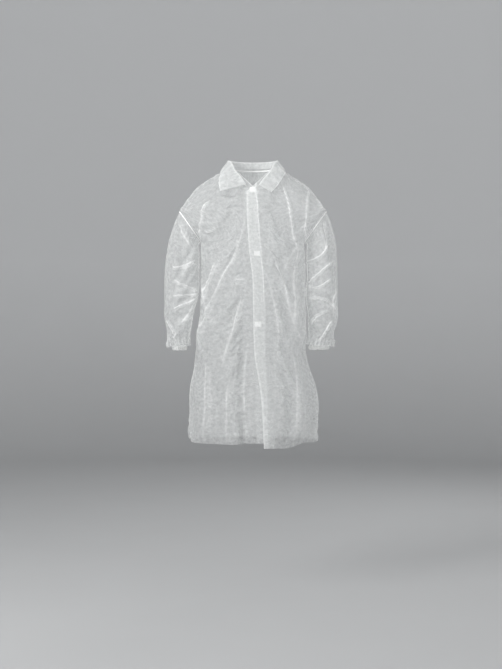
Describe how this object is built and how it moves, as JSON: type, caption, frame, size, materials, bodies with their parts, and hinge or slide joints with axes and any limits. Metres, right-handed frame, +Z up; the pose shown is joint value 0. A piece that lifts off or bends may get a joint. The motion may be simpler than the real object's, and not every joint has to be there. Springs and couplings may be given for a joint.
{
  "type": "disposable laboratory coat",
  "caption": "Knee-length translucent nonwoven lab coat with a turned-down collar, lapped front with hook-and-loop squares and elastic wrists, held open as worn.",
  "frame": {"origin": "middle of the neck, level with the inner ends of the shoulder seams", "axes": "+Z up along the wearer, -Y to the wearer's front, +X to the wearer's left"},
  "size_m": [0.62, 0.3283, 1.0469],
  "materials": {
    "nonwoven": "thin translucent white spunbond nonwoven, matt with a faint sheen",
    "seam_thread": "white overlocked seam, several layers thick",
    "closure_tape": "opaque white hook-and-loop tape",
    "elastic": "off-white covered elastic band"
  },
  "bodies": {
    "coat_body": {"back_panel": "nonwoven", "left_front_upper": "nonwoven", "right_front_upper": "nonwoven", "left_facing_top": "nonwoven", "right_facing_top": "nonwoven", "hook_square_1": "closure_tape", "loop_square_1": "closure_tape", "collar": "nonwoven", "neck_seam": "seam_thread", "left_armhole_seam": "seam_thread", "right_armhole_seam": "seam_thread", "left_side_seam": "seam_thread", "right_side_seam": "seam_thread", "left_shoulder_seam": "seam_thread", "right_shoulder_seam": "seam_thread"},
    "left_lower_front": {"left_front_flap": "nonwoven", "left_facing": "nonwoven", "hook_square_2": "closure_tape", "hook_square_3": "closure_tape"},
    "right_lower_front": {"right_front_flap": "nonwoven", "right_facing": "nonwoven", "loop_square_2": "closure_tape", "loop_square_3": "closure_tape"},
    "left_arm": {"left_sleeve": "nonwoven", "left_sleeve_seam": "seam_thread", "left_cuff_casing": "nonwoven", "left_cuff_elastic": "elastic"},
    "right_arm": {"right_sleeve": "nonwoven", "right_sleeve_seam": "seam_thread", "right_cuff_casing": "nonwoven", "right_cuff_elastic": "elastic"}
  },
  "joints": [
    {"name": "left_front_open", "type": "hinge", "parent": "coat_body", "child": "left_lower_front", "pos_m": [0.034, -0.138, -0.13], "axis": [-0.1481, 0.009, 0.9889], "range_deg": [0, 70]},
    {"name": "right_front_open", "type": "hinge", "parent": "coat_body", "child": "right_lower_front", "pos_m": [-0.034, -0.138, -0.13], "axis": [-0.1481, -0.009, -0.9889], "range_deg": [0, 21]},
    {"name": "left_sleeve_raise", "type": "hinge", "parent": "coat_body", "child": "left_arm", "pos_m": [0.223, 0, -0.206], "axis": [-0.8206, 0, 0.5715], "range_deg": [0, 75]},
    {"name": "right_sleeve_raise", "type": "hinge", "parent": "coat_body", "child": "right_arm", "pos_m": [-0.223, 0, -0.206], "axis": [-0.8206, 0, -0.5715], "range_deg": [0, 75]}
  ],
  "couplings": [
    {"joint": "right_front_open", "follows": "left_front_open", "ratio": 0.3}
  ]
}
